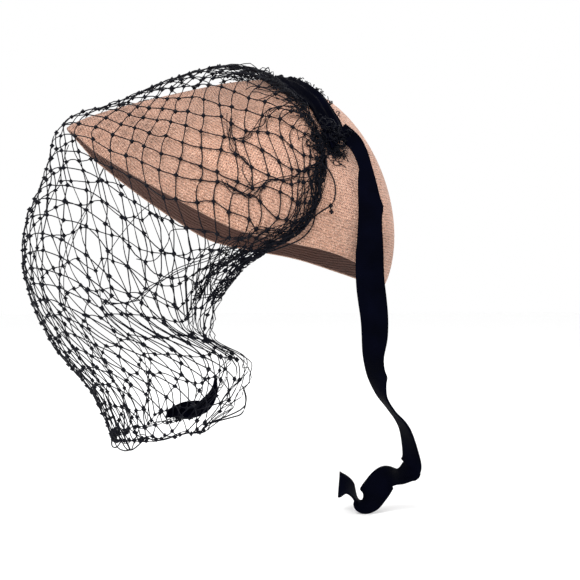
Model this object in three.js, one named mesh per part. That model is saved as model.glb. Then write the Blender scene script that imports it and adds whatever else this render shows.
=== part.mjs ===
// A lady's calot with a pointed peak: a hollow straw crown, a velvet ribbon band over it, one long
// ribbon tie, a coarse net veil and a small velvet bow at the veil's lower edge.
// Millimetres, +Z up. The front looks along -X and the wearer's left is -Y. The origin is the middle
// of the head opening, where the head carries the hat.
import * as THREE from "three";

// Crown. Lengths run along the line from the tip of the peak to the back of the edge.
const CROWN_LENGTH = 248;
const APEX_ALONG = 142; // from the tip to the highest point
const CROWN_HALF_WIDTH = 80;
const CROWN_HEIGHT = 98.5; // above the tip-to-back line
const CROWN_WALL = 2;
const EDGE_DIP = 21; // how far the edge hangs below the tip-to-back line at the ears
const OPENING_TILT = 25.7; // degrees, front up
const SEAT_ALONG = 124; // the origin, measured from the tip
const SEAT_BELOW = 10; // and below the tip-to-back line

// Ribbon.
const RIBBON_WIDTH = 19;
const RIBBON_THICKNESS = 1.1;
const BAND_WIDTH = 17;
const BAND_THICKNESS = 2.4; // the velvet is bunched here
const BAND_CREST_ALONG = 118; // where the band crosses the crest
const BAND_END_ALONG = 167; // where it ends on either side
const BAND_END_OUT = 56;
const TIE_DROP = 250; // from the band's end to the lowest bend
const TIE_SWING = 50; // how far it swings backwards
const TIE_STANDOFF = 17; // how far it stands out from the band's end

// Veil.
const VEIL_REACH = 137; // from the head seat to the foremost point
const VEIL_HALF_WIDTH = 88;
const VEIL_RISE = 107; // above the head seat
const VEIL_FALL = 155; // below the head seat
const VEIL_THICKNESS = 1;
const STRAND_WIDTH = 3.2;
const GAPS_AROUND = 8;
const GAPS_DOWN = 6;
const STEPS_PER_STRAND = 3;
const PLEAT_DEPTH = 7; // soft upright folds on the far side

// Bow.
const BOW_WIDTH = 13;
const BOW_THICKNESS = 2;

// How finely a ribbon's run is cut between two rows of its table.
const STEPS_PER_PLACE = 2.5;

// Clearance between pieces that lie on each other.
const SEAT_GAP = 0.4;
const CLEAR_FADE = 30; // how far below the edge the crown still pushes cloth out
const NET_LIFT = 1.6; // the net's middle surface over the straw
const BAND_REST = 1.4; // the band's under side over the straw
const BAND_LIFT = BAND_REST + BAND_THICKNESS / 2; // the band's middle surface
const TIE_LIFT = BAND_LIFT + (BAND_THICKNESS + RIBBON_THICKNESS) / 2 + SEAT_GAP; // the tie's

// How pointed each form is: 1 is a straight slope, 2 a round one.
const PLAN_PEAK = 1.3;
const PLAN_TIP = 1.85;
const PLAN_BACK = 2;
const RISE_PEAK = 1.22;
const RISE_SIDE = 1.9;
const RISE_BACK = 1.75;
const RISE_APEX = 2;

// How far the edge hangs below the tip-to-back line, from the tip to the back.
const EDGE_SECTIONS = [
  { along: 0.0, dip: 0.12 },
  { along: 0.1, dip: 0.5 },
  { along: 0.24, dip: 0.76 },
  { along: 0.38, dip: 0.93 },
  { along: 0.52, dip: 1.0 },
  { along: 0.66, dip: 0.62 },
  { along: 0.78, dip: 0.26 },
  { along: 0.9, dip: 0.12 },
  { along: 1.0, dip: 0.1 },
];

// Dents pressed into the straw. Turn is the direction from the apex (0 back, -90 the wearer's left).
const DENTS = [
  { turn: -40, spread: 7, low: -0.2, high: 0.62, depth: 2.2 },
  { turn: -150, spread: 16, low: 0.1, high: 0.6, depth: 1.2 },
];

// The veil from the band to the hem. Each row is one line across the net, from the gathered edge at
// the left side, round the front, to the gathered edge at the right side. Lengths are shares of the
// veil's reach, half width, and rise or fall; round is the plan's roundness.
const VEIL_ROWS = [
  { edgeX: 0.42, edgeY: 0.735, edgeZ: 0.3, frontX: 0.29, frontZ: 0.96, side: 0.735, round: 2 }, // band
  { edgeX: 0.4, edgeY: 0.75, edgeZ: 0.15, frontX: 0.02, frontZ: 1.0, side: 0.77, round: 1.9 }, // crest
  { edgeX: 0.35, edgeY: 0.8, edgeZ: 0.0, frontX: -0.25, frontZ: 0.91, side: 0.83, round: 1.7 }, // crown
  { edgeX: 0.28, edgeY: 0.89, edgeZ: -0.1, frontX: -0.53, frontZ: 0.75, side: 0.9, round: 1.55 }, // peak
  { edgeX: 0.14, edgeY: 0.94, edgeZ: -0.17, frontX: -0.81, frontZ: 0.6, side: 0.96, round: 1.5 }, // tip
  { edgeX: 0.02, edgeY: 0.9, edgeZ: -0.25, frontX: -0.9, frontZ: 0.26, side: 1.0, round: 1.7 }, // brow
  { edgeX: -0.07, edgeY: 0.81, edgeZ: -0.37, frontX: -1.0, frontZ: -0.08, side: 1.0, round: 1.9 }, // eyes
  { edgeX: -0.09, edgeY: 0.73, edgeZ: -0.52, frontX: -0.98, frontZ: -0.33, side: 0.93, round: 2 }, // cheek
  { edgeX: 0.09, edgeY: 0.61, edgeZ: -0.64, frontX: -0.85, frontZ: -0.58, side: 0.8, round: 2 }, // mouth
  { edgeX: 0.03, edgeY: 0.55, edgeZ: -0.8, frontX: -0.67, frontZ: -0.78, side: 0.66, round: 2 }, // chin
  { edgeX: -0.13, edgeY: 0.45, edgeZ: -0.94, frontX: -0.56, frontZ: -1.0, side: 0.52, round: 2 }, // hem
];

// The tie's run from the band's end: shares of its drop, swing and standoff; turn is how far the
// ribbon is twisted away from facing the left side; wide is a share of its width.
const TIE_FOLDS = [
  { down: 0, back: 0, out: 0, turn: 0, wide: 0.6 },
  { down: 0.03, back: 0.16, out: 0.25, turn: 0, wide: 0.55 },
  { down: 0.061, back: 0.24, out: 0.45, turn: 0, wide: 0.5 },
  { down: 0.1, back: 0.29, out: 0.65, turn: 20, wide: 0.46 },
  { down: 0.138, back: 0.3, out: 0.8, turn: 25, wide: 0.62 },
  { down: 0.198, back: 0.32, out: 0.95, turn: 20, wide: 0.78 },
  { down: 0.296, back: 0.32, out: 1, turn: 15, wide: 0.92 },
  { down: 0.399, back: 0.33, out: 0.98, turn: 0, wide: 1 },
  { down: 0.491, back: 0.39, out: 0.9, turn: 25, wide: 0.97 },
  { down: 0.544, back: 0.4, out: 0.88, turn: 35, wide: 0.95 },
  { down: 0.604, back: 0.39, out: 0.85, turn: 54, wide: 0.95 },
  { down: 0.657, back: 0.45, out: 0.8, turn: 48, wide: 0.95 },
  { down: 0.703, back: 0.51, out: 0.7, turn: 68, wide: 0.95 },
  { down: 0.741, back: 0.64, out: 0.62, turn: 86, wide: 0.95 },
  { down: 0.776, back: 0.79, out: 0.55, turn: 81, wide: 0.95 },
  { down: 0.812, back: 0.88, out: 0.45, turn: 76, wide: 0.95 },
  { down: 0.875, back: 0.96, out: 0.3, turn: 70, wide: 0.98 },
  { down: 0.912, back: 0.97, out: 0.15, turn: 60, wide: 1 },
  { down: 0.935, back: 0.95, out: 0, turn: 58, wide: 1 },
  { down: 0.939, back: 0.82, out: -0.1, turn: 64, wide: 1 },
  { down: 0.934, back: 0.65, out: -0.2, turn: 46, wide: 1 },
  { down: 0.968, back: 0.51, out: -0.3, turn: 28, wide: 1 },
  { down: 0.995, back: 0.41, out: -0.4, turn: 50, wide: 1 },
  { down: 1, back: 0.3, out: -0.6, turn: 77, wide: 1 },
  { down: 0.967, back: 0.2, out: -0.8, turn: 63, wide: 1 },
  { down: 0.957, back: 0.07, out: -1.1, turn: 35, wide: 1 },
];

// The bow from the tip of its lying lobe to the tip of its upright one: places on the veil, how far
// it stands off in shares of its thickness, its twist and its width as a share of the widest.
const BOW_PLACES = [
  { around: 0.8725, down: 0.97, out: 0.2, turn: 0, wide: 0.08 },
  { around: 0.905, down: 0.962, out: 0.5, turn: 0, wide: 0.63 },
  { around: 0.935, down: 0.956, out: 0.7, turn: 0, wide: 0.98 },
  { around: 0.9625, down: 0.953, out: 0.6, turn: 0, wide: 0.9 },
  { around: 0.985, down: 0.948, out: 0.5, turn: 0, wide: 0.72 },
  { around: 0.995, down: 0.933, out: 0.8, turn: 8, wide: 0.62 },
  { around: 0.99, down: 0.91, out: 1.2, turn: 10, wide: 0.45 },
  { around: 0.975, down: 0.868, out: 1.6, turn: 12, wide: 0.08 },
];

const mix = (from, to, share) => from + (to - from) * share;
const clamp01 = (value) => Math.min(1, Math.max(0, value));
const radians = (degrees) => (degrees * Math.PI) / 180;
const superRadius = (share, power) => ((1 - share) ** power + share ** power) ** (-1 / power);

// The value of one column of a table at a place between its rows, on a smooth curve through them.
function columnAt(rows, column, place) {
  const cell = Math.min(rows.length - 2, Math.max(0, Math.floor(place)));
  const t = place - cell;
  const value = (row) => rows[Math.min(rows.length - 1, Math.max(0, row))][column];
  const [before, from, to, after] = [value(cell - 1), value(cell), value(cell + 1), value(cell + 2)];
  const slopeFrom = (to - before) / 2;
  const slopeTo = (after - from) / 2;
  const t2 = t * t;
  const t3 = t2 * t;
  const values = (2 * t3 - 3 * t2 + 1) * from + (3 * t2 - 2 * t3) * to;
  return values + (t3 - 2 * t2 + t) * slopeFrom + (t3 - t2) * slopeTo;
}

function edgeHeight(along) {
  const share = clamp01(along / CROWN_LENGTH);
  const last = EDGE_SECTIONS.length - 1;
  const after = EDGE_SECTIONS.findIndex((section) => section.along > share);
  if (after < 0) return -EDGE_DIP * EDGE_SECTIONS[last].dip;
  const [from, to] = [EDGE_SECTIONS[after - 1], EDGE_SECTIONS[after]];
  const t = (share - from.along) / (to.along - from.along);
  return -EDGE_DIP * columnAt(EDGE_SECTIONS, "dip", after - 1 + t);
}

// The crown's form in one direction from its apex: how sideways the direction is, and whether it
// looks to the peak.
function planPower(sideways, peakward) {
  if (!peakward) return PLAN_BACK;
  return mix(PLAN_PEAK, PLAN_BACK, sideways ** 4) + (PLAN_TIP - PLAN_PEAK) * (1 - sideways) ** 10;
}

function risePower(sideways, peakward, rise) {
  const base = mix(peakward ? RISE_PEAK : RISE_BACK, RISE_SIDE, sideways ** 1.5);
  return mix(base, RISE_APEX, rise ** 4);
}

function outline(sideways, peakward, left, shorter) {
  const k = superRadius(sideways, planPower(sideways, peakward));
  const reach = peakward ? -(APEX_ALONG - shorter) : CROWN_LENGTH - APEX_ALONG - shorter;
  const across = (CROWN_HALF_WIDTH - shorter) * (left ? -1 : 1);
  return { along: APEX_ALONG + reach * (1 - sideways) * k, across: across * sideways * k };
}

function dentDepth(turn, rise) {
  let depth = 0;
  for (const dent of DENTS) {
    const side = Math.abs(((turn - dent.turn + 540) % 360) - 180) / dent.spread;
    const middle = (dent.low + dent.high) / 2;
    const upright = Math.abs(rise - middle) / ((dent.high - dent.low) / 2);
    if (side < 2 && upright < 1) depth += dent.depth * Math.exp(-side * side * 1.6) * (1 - upright ** 4);
  }
  return depth;
}

// A point of the crown, in its own frame: along from the tip, across, and up from the tip-to-back
// line. Turn is the direction in degrees and rise goes from 0 at the edge to 1 at the apex.
function crownPoint(turn, rise, shorter) {
  const c = Math.cos(radians(turn));
  const s = Math.sin(radians(turn));
  const sideways = Math.abs(s) / (Math.abs(c) + Math.abs(s));
  const peakward = c < 0;
  const rim = outline(sideways, peakward, s < 0, shorter);
  const k = superRadius(rise, risePower(sideways, peakward, rise));
  const reach = (1 - rise) * k - dentDepth(turn, rise) / CROWN_HALF_WIDTH;
  const edge = edgeHeight(rim.along);
  return new THREE.Vector3(
    mix(APEX_ALONG, rim.along, Math.max(0, reach)),
    rim.across * Math.max(0, reach),
    edge + rise * k * (CROWN_HEIGHT - shorter - edge),
  );
}

// Moves a point that is inside the crown, or closer to it than the lift, out to the lift.
function clearOfCrown(point, lift) {
  const along = point.x - APEX_ALONG;
  const peakward = along < 0;
  const reach = peakward ? APEX_ALONG : CROWN_LENGTH - APEX_ALONG;
  const du = Math.abs(along) / reach;
  const dv = Math.abs(point.y) / CROWN_HALF_WIDTH;
  const sideways = dv / (du + dv);
  const out = (du + dv) / superRadius(sideways, planPower(sideways, peakward));
  const edge = edgeHeight(outline(sideways, peakward, point.y < 0, 0).along);
  const up = (point.z - edge) / (CROWN_HEIGHT - edge);
  if (up <= 0) {
    const needed = 1 + lift / CROWN_HALF_WIDTH - (edge - point.z) / CLEAR_FADE;
    const scale = Math.max(1, needed / out);
    return new THREE.Vector3(APEX_ALONG + along * scale, point.y * scale, point.z);
  }
  const power = risePower(sideways, peakward, up / (out + up));
  const size = (out ** power + up ** power) ** (1 / power);
  const scale = Math.max(1, (1 + lift / CROWN_HALF_WIDTH) / size);
  return new THREE.Vector3(
    APEX_ALONG + along * scale,
    point.y * scale,
    edge + up * scale * (CROWN_HEIGHT - edge),
  );
}

const tilt = radians(OPENING_TILT);
const hatFrame = new THREE.Matrix4()
  .makeRotationY(tilt)
  .multiply(new THREE.Matrix4().makeTranslation(-SEAT_ALONG, 0, SEAT_BELOW));
const hatFrameBack = hatFrame.clone().invert();
const fromHat = (point) => point.clone().applyMatrix4(hatFrame);
const toHat = (point) => point.clone().applyMatrix4(hatFrameBack);

// A closed mesh from corner points and triangles.
function solid(points, triangles) {
  const geometry = new THREE.BufferGeometry();
  const places = points.flatMap((point) => point.toArray());
  geometry.setAttribute("position", new THREE.Float32BufferAttribute(places, 3));
  geometry.setIndex(triangles);
  geometry.computeVertexNormals();
  return geometry;
}

// A sheet of even thickness: rows of points, thickened to both sides. Faces look to the side where
// the along step crossed with the across step points.
function thickSheet(grid, thickness) {
  const rows = grid.length;
  const columns = grid[0].length;
  const points = [];
  for (const side of [0.5, -0.5]) {
    for (let i = 0; i < rows; i++) {
      for (let j = 0; j < columns; j++) {
        const down = grid[Math.min(rows - 1, i + 1)][j].clone().sub(grid[Math.max(0, i - 1)][j]);
        const over = grid[i][Math.min(columns - 1, j + 1)].clone().sub(grid[i][Math.max(0, j - 1)]);
        const normal = down.cross(over).normalize();
        points.push(grid[i][j].clone().addScaledVector(normal, side * thickness));
      }
    }
  }
  const top = (i, j) => i * columns + j;
  const under = (i, j) => rows * columns + i * columns + j;
  const triangles = [];
  const quad = (a, b, c, d) => triangles.push(a, b, c, a, c, d);
  for (let i = 0; i + 1 < rows; i++) {
    for (let j = 0; j + 1 < columns; j++) {
      quad(top(i, j), top(i + 1, j), top(i + 1, j + 1), top(i, j + 1));
      quad(under(i, j), under(i, j + 1), under(i + 1, j + 1), under(i + 1, j));
    }
    quad(top(i, 0), under(i, 0), under(i + 1, 0), top(i + 1, 0));
    const end = columns - 1;
    quad(top(i, end), top(i + 1, end), under(i + 1, end), under(i, end));
  }
  for (let j = 0; j + 1 < columns; j++) {
    quad(top(0, j), top(0, j + 1), under(0, j + 1), under(0, j));
    const end = rows - 1;
    quad(top(end, j), under(end, j), under(end, j + 1), top(end, j + 1));
  }
  return solid(points, triangles);
}

// The hollow crown with its rounded edge, in the hat's own frame.
function crownGeometry() {
  const around = 56;
  const rings = 9;
  const points = [];
  const ring = (place) => {
    for (let i = 0; i < around; i++) points.push(place((i * 360) / around));
  };
  for (let r = rings - 1; r >= 0; r--) ring((turn) => crownPoint(turn, r / rings, 0));
  ring((turn) => {
    const lip = crownPoint(turn, 0, CROWN_WALL / 2);
    lip.z -= CROWN_WALL / 2;
    return lip;
  });
  for (let r = 0; r < rings; r++) ring((turn) => crownPoint(turn, r / rings, CROWN_WALL));
  const bands = points.length / around;
  const apex = points.push(crownPoint(0, 1, 0)) - 1;
  const innerApex = points.push(crownPoint(0, 1, CROWN_WALL)) - 1;
  const triangles = [];
  for (let i = 0; i < around; i++) {
    const next = (i + 1) % around;
    triangles.push(apex, i, next);
    for (let band = 0; band + 1 < bands; band++) {
      const [a, b] = [band * around + i, band * around + next];
      const [c, d] = [a + around, b + around];
      triangles.push(a, c, d, a, d, b);
    }
    const last = (bands - 1) * around;
    triangles.push(innerApex, last + next, last + i);
  }
  return solid(points, triangles);
}

// A place in plan on the band, whose middle line crosses the crown from the left end, over the
// crest, to the right end. Over is measured from that line towards the peak.
function bandPlan(across, over) {
  const sweep = BAND_END_ALONG - BAND_CREST_ALONG;
  const slope = (2 * sweep * across) / BAND_END_OUT ** 2;
  const length = Math.hypot(1, slope);
  const middle = BAND_CREST_ALONG + sweep * (across / BAND_END_OUT) ** 2;
  return [middle - over / length, across + (over * slope) / length];
}

// A point on the crown at one place in plan, found from below the surface, at a lift above it.
function onCrown(along, across, lift) {
  let low = 0;
  let high = CROWN_HEIGHT * 1.5;
  for (let step = 0; step < 30; step++) {
    const middle = (low + high) / 2;
    const point = new THREE.Vector3(along, across, middle);
    const moved = clearOfCrown(point, lift).distanceTo(point) > 1e-6;
    if (moved) low = middle;
    else high = middle;
  }
  return new THREE.Vector3(along, across, high);
}

function bandGeometry() {
  const steps = 28;
  const columns = 4;
  const grid = [];
  for (let i = 0; i <= steps; i++) {
    const row = [];
    for (let j = 0; j <= columns; j++) {
      const over = (0.5 - j / columns) * BAND_WIDTH;
      row.push(onCrown(...bandPlan(mix(-BAND_END_OUT, BAND_END_OUT, i / steps), over), BAND_LIFT));
    }
    grid.push(row);
  }
  return thickSheet(grid, BAND_THICKNESS);
}

// A ribbon along a run of places. The face looks to the left side, turned about the run.
function ribbonGrid(places, columns, facing) {
  const curve = new THREE.CatmullRomCurve3(
    places.map((place) => place.at),
    false,
    "centripetal",
  );
  const steps = Math.round((places.length - 1) * STEPS_PER_PLACE);
  const grid = [];
  for (let i = 0; i <= steps; i++) {
    const t = i / steps;
    const at = curve.getPoint(t);
    const along = curve.getTangent(t);
    const face = facing.clone().addScaledVector(along, -facing.dot(along)).normalize();
    face.applyAxisAngle(along, radians(columnAt(places, "turn", t * (places.length - 1))));
    const side = along.clone().cross(face);
    const wide = columnAt(places, "width", t * (places.length - 1));
    const row = [];
    for (let j = 0; j <= columns; j++) {
      row.push(at.clone().addScaledVector(side, (j / columns - 0.5) * wide));
    }
    grid.push(row);
  }
  return grid;
}

function tieGeometry() {
  const onBand = 0.97; // of the band's length to its left end
  const start = fromHat(onCrown(...bandPlan(-BAND_END_OUT * onBand, 0), TIE_LIFT));
  const places = TIE_FOLDS.map((fold) => ({
    at: new THREE.Vector3(
      start.x + fold.back * TIE_SWING,
      start.y - fold.out * TIE_STANDOFF,
      start.z - fold.down * TIE_DROP,
    ),
    turn: fold.turn,
    width: fold.wide * RIBBON_WIDTH,
  }));
  const grid = ribbonGrid(places, 2, new THREE.Vector3(0, -1, 0));
  const clear = (point) => fromHat(clearOfCrown(toHat(point), TIE_LIFT));
  return thickSheet(grid.map((row) => row.map(clear)), RIBBON_THICKNESS);
}

// The veil's middle surface: around runs from the left edge over the front to the right edge, and
// down from the band to the hem, both from 0 to 1.
function veilPoint(around, down) {
  const row = down * (VEIL_ROWS.length - 1);
  const value = (column) => columnAt(VEIL_ROWS, column, row);
  const height = (share) => share * (share > 0 ? VEIL_RISE : VEIL_FALL);
  const angle = Math.PI * around;
  const power = 2 / value("round");
  const forward = Math.max(0, Math.sin(angle)) ** power;
  const sideways = Math.sign(Math.cos(angle)) * Math.abs(Math.cos(angle)) ** power;
  const out = mix(value("side"), value("edgeY"), Math.abs(Math.cos(angle)) ** 8);
  const free = new THREE.Vector3(
    VEIL_REACH * mix(value("edgeX"), value("frontX"), forward),
    -VEIL_HALF_WIDTH * out * sideways,
    mix(height(value("edgeZ")), height(value("frontZ")), forward),
  );
  const hanging = clamp01((down - 0.4) / 0.3);
  const farSide = Math.exp(-(((around - 0.7) / 0.13) ** 2));
  free.y += PLEAT_DEPTH * hanging * farSide * Math.sin(around * 62);
  const hat = clearOfCrown(toHat(free), NET_LIFT);
  const near = clamp01(1 - down / 0.14) ** 2;
  if (near > 0) {
    const front = BAND_WIDTH / 2 + SEAT_GAP + VEIL_THICKNESS / 2;
    hat.lerp(onCrown(...bandPlan(-BAND_END_OUT * Math.cos(angle), front), NET_LIFT), near);
  }
  return fromHat(clearOfCrown(hat, NET_LIFT));
}

function veilFrame(around, down) {
  const step = 0.004;
  const at = veilPoint(around, down);
  const a0 = veilPoint(Math.max(0, around - step), down);
  const a1 = veilPoint(Math.min(1, around + step), down);
  const d0 = veilPoint(around, Math.max(0, down - step));
  const d1 = veilPoint(around, Math.min(1, down + step));
  return { at, normal: a1.sub(a0).cross(d1.sub(d0)).normalize() };
}

// The net as a shell cut through in diamonds, with half diamonds along its edges.
function veilGeometry() {
  const sub = STEPS_PER_STRAND;
  const points = [];
  const triangles = [];
  const known = new Map();
  const vertex = (i, j, side) => {
    const key = `${i.toFixed(4)},${j.toFixed(4)},${side}`;
    if (!known.has(key)) {
      const { at, normal } = veilFrame(i / (2 * GAPS_AROUND * sub), j / (2 * GAPS_DOWN * sub));
      known.set(key, points.push(at.addScaledVector(normal, (side * VEIL_THICKNESS) / 2)) - 1);
    }
    return known.get(key);
  };
  const quad = (a, b, c, d) => triangles.push(a, b, c, a, c, d);
  const wall = (from, to) => {
    quad(vertex(...from, 1), vertex(...from, -1), vertex(...to, -1), vertex(...to, 1));
  };
  // One gap, from its corners in order round it, counted in half cells.
  const gap = (corners) => {
    const outer = [];
    corners.forEach((corner, index) => {
      const next = corners[(index + 1) % corners.length];
      const straight = corner[1] === next[1] || corner[0] === next[0] ? 2 : 1;
      const count = sub * straight;
      for (let k = 0; k < count; k++) {
        outer.push([mix(corner[0], next[0], k / count) * sub, mix(corner[1], next[1], k / count) * sub]);
      }
    });
    const middle = [0, 1].map((axis) => outer.reduce((sum, p) => sum + p[axis], 0) / outer.length);
    const place = (p) => veilPoint(p[0] / (2 * GAPS_AROUND * sub), p[1] / (2 * GAPS_DOWN * sub));
    const centre = place(middle);
    const apothem = Math.min(
      ...corners.map((corner, index) => {
        const next = corners[(index + 1) % corners.length];
        const from = place([corner[0] * sub, corner[1] * sub]);
        const to = place([next[0] * sub, next[1] * sub]);
        const edge = to.sub(from);
        return centre.clone().sub(from).cross(edge).length() / edge.length();
      }),
    );
    const open = 1 - Math.min(0.6, STRAND_WIDTH / 2 / apothem);
    const inner = outer.map((p) => [mix(middle[0], p[0], open), mix(middle[1], p[1], open)]);
    outer.forEach((from, index) => {
      const k = (index + 1) % outer.length;
      const [to, near, far] = [outer[k], inner[index], inner[k]];
      quad(vertex(...from, 1), vertex(...to, 1), vertex(...far, 1), vertex(...near, 1));
      quad(vertex(...from, -1), vertex(...near, -1), vertex(...far, -1), vertex(...to, -1));
      quad(vertex(...near, 1), vertex(...far, 1), vertex(...far, -1), vertex(...near, -1));
    });
    outer.forEach((from, index) => {
      const to = outer[(index + 1) % outer.length];
      const last = [2 * GAPS_AROUND * sub, 2 * GAPS_DOWN * sub];
      const liesOn = (axis, value) => from[axis] === value && to[axis] === value;
      if ([0, 1].some((axis) => liesOn(axis, 0) || liesOn(axis, last[axis]))) wall(from, to);
    });
  };
  const diamond = (x, y) => gap([[x, y - 1], [x + 1, y], [x, y + 1], [x - 1, y]]);
  for (let i = 0; i < GAPS_AROUND; i++) {
    const x = 2 * i;
    gap([[x, 0], [x + 2, 0], [x + 1, 1]]);
    gap([[x + 1, 2 * GAPS_DOWN - 1], [x + 2, 2 * GAPS_DOWN], [x, 2 * GAPS_DOWN]]);
    for (let j = 1; j < GAPS_DOWN; j++) diamond(x + 1, 2 * j);
  }
  for (let j = 0; j < GAPS_DOWN; j++) {
    const y = 2 * j;
    gap([[0, y], [1, y + 1], [0, y + 2]]);
    gap([[2 * GAPS_AROUND, y], [2 * GAPS_AROUND, y + 2], [2 * GAPS_AROUND - 1, y + 1]]);
    for (let i = 1; i < GAPS_AROUND; i++) diamond(2 * i, y + 1);
  }
  return solid(points, triangles);
}

// Two pointed lobes of velvet with a pinch between them, tacked outside on the veil's lower right
// corner: one lies forward along the hem and the other stands up along the edge.
function bowGeometry() {
  const lift = (VEIL_THICKNESS + BOW_THICKNESS) / 2 + SEAT_GAP;
  const places = BOW_PLACES.map((place) => {
    const { at, normal } = veilFrame(place.around, place.down);
    return {
      at: at.addScaledVector(normal, lift + place.out * BOW_THICKNESS),
      turn: place.turn,
      width: place.wide * BOW_WIDTH,
    };
  });
  const joint = BOW_PLACES[4];
  return thickSheet(ribbonGrid(places, 2, veilFrame(joint.around, joint.down).normal), BOW_THICKNESS);
}

const straw = new THREE.MeshStandardMaterial({ color: 0xcf9a86, roughness: 0.8, metalness: 0 });
const velvet = new THREE.MeshStandardMaterial({ color: 0x060915, roughness: 0.75, metalness: 0 });
const net = new THREE.MeshStandardMaterial({ color: 0x080a12, roughness: 0.6, metalness: 0 });

function piece(name, geometry, material) {
  const mesh = new THREE.Mesh(geometry, material);
  mesh.name = name;
  return mesh;
}

const hat = new THREE.Group();
hat.applyMatrix4(hatFrame);
hat.add(piece("crown", crownGeometry(), straw));
hat.add(piece("ribbon_band", bandGeometry(), velvet));

const whole = new THREE.Group();
whole.add(hat);
whole.add(piece("ribbon_tie", tieGeometry(), velvet));
whole.add(piece("veil", veilGeometry(), net));
whole.add(piece("veil_bow", bowGeometry(), velvet));

export default whole;
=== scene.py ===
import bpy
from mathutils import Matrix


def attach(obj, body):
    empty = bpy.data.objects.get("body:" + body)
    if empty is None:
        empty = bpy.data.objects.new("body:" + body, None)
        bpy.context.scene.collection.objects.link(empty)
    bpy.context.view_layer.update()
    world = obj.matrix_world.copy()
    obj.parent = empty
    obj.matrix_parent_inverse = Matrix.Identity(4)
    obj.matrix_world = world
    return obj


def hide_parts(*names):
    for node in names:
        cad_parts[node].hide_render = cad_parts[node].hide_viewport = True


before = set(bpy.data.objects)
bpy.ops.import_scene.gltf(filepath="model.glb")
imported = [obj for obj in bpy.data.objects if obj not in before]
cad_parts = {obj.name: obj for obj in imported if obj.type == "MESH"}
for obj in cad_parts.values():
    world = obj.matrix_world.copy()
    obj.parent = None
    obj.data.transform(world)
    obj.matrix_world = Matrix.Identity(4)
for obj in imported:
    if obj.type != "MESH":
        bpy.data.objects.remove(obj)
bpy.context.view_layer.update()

import math

import bpy
import numpy as np
from mathutils import Vector

# A pink straw calot with a pointed peak, a navy velvet ribbon band and tie, a coarse net veil and a
# small velvet bow. Lengths are millimetres until they become mesh points. The front looks along -X,
# the wearer's left is -Y, and the origin is the middle of the head opening.
MM = 0.001
SEED = 20
FLOOR_GAP = 0.3 * MM

# Crown.
CROWN_LENGTH = 248.0
APEX_ALONG = 142.0
CROWN_HALF_WIDTH = 80.0
CROWN_HEIGHT = 98.5
CROWN_WALL = 2.0
EDGE_DIP = 21.0
OPENING_TILT = math.radians(25.7)
SEAT_ALONG = 124.0
SEAT_BELOW = 10.0

# Ribbon and bow. The cloth of the folded band and bow is thinner than the room they take up.
RIBBON_WIDTH = 19.0
RIBBON_THICKNESS = 1.1
BAND_WIDTH = 17.0
BAND_THICKNESS = 2.4
BAND_CLOTH = 1.7
BAND_CREST_ALONG = 118.0
BAND_END_ALONG = 167.0
BAND_END_OUT = 56.0
TIE_START = 0.97 * BAND_END_OUT
TIE_DROP = 250.0
TIE_SWING = 50.0
TIE_STANDOFF = 17.0
BOW_WIDTH = 13.0
BOW_THICKNESS = 2.0
BOW_CLOTH = 1.4

# Veil.
VEIL_REACH = 137.0
VEIL_HALF_WIDTH = 88.0
VEIL_RISE = 107.0
VEIL_FALL = 155.0
VEIL_THICKNESS = 1.0
PLEAT_DEPTH = 7.0
THREAD_RADIUS = 0.37
THREAD_AT_KNOT, THREAD_BY_KNOT = 0.85, 0.4
THREAD_CLEAR, LOOSE_CLEAR = 0.2, 0.3
LOOSE_RADIUS = 0.29
LOOP_RADIUS = 1.3 * THREAD_RADIUS
KNOT_RADIUS = 1.75

# Round the veil: the middle, spread and pace of the folds on its far side. Down the veil: where they
# start, over how much they grow, and to where the net is drawn in to the band.
PLEAT_PLACE, PLEAT_SPREAD, PLEAT_WAVES = 0.7, 0.13, 62
HANGS_FROM, HANGS_OVER = 0.4, 0.3
SEATED_TO = 0.14

# The net spread flat, with its diamonds' side. The threads turn to run along the hem about one place
# low on the left side, and more net than the edges' length is gathered into them.
NET_BREADTH = 360.0
NET_LENGTH_SIDE, NET_LENGTH_FRONT = 290.0, 420.0
THREAD_SPACING = 13.6
HEM_PLACE = (0.12, 0.87)
HEM_TURN = math.radians(-45)
HEM_LEAN = 0.25
HEM_TURN_NEAR, HEM_TURN_FAR = 60.0, 420.0
GATHERED_HIGH, GATHERED_LOW, GATHERED_HEM = 44.0, 22.0, 0.05
LESS_FROM, LESS_OVER = 0.5, 0.25

# Net past these places is squeezed ever closer to the edge: millimetres from the sides, and share of
# the length.
EDGE_SQUEEZED, EDGE_REACH = 30.0, 29.0
HEM_SQUEEZED, HEM_REACH = 0.965, 0.034

# How far the threads sway, in long waves and short ones.
SWAY_LONG, SWAY_SHORT, SWAY_DOWN = 2.4, 1.4, 0.8

# Over the crown the net is drawn lengthwise, so its diamonds close across and lean to the sides.
DRAWN_ABOVE, DRAWN_BELOW = 130.0, 240.0
DRAWN_WIDTH_MIDDLE, DRAWN_WIDTH_SIDES = 0.45, 0.85
LEANS_FROM, LEANS_TO, LEAN_FADE = 60.0, 200.0, 40.0
DRAWN_LEAN = 0.75

# Two thread knots on the crown: turns in degrees and rises.
STITCHES = ((290.5, 291.5), (0.22, 0.195))

# The straw's texture runs once round the outside, and from this turn on round the inside, which is painted
# dark as shade.
INSIDE_TURN = 2

SEAT_GAP = 0.4
NET_LIFT = 1.1
BAND_REST = 1.4
BAND_LIFT = BAND_REST + BAND_THICKNESS / 2
TIE_LIFT = BAND_LIFT + (BAND_THICKNESS + RIBBON_THICKNESS) / 2 + SEAT_GAP

# How pointed each form is: 1 is a straight slope, 2 a round one.
PLAN_PEAK, PLAN_TIP, PLAN_BACK = 1.3, 1.85, 2.0
RISE_PEAK, RISE_SIDE, RISE_BACK, RISE_APEX = 1.22, 1.9, 1.75, 2.0

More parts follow.
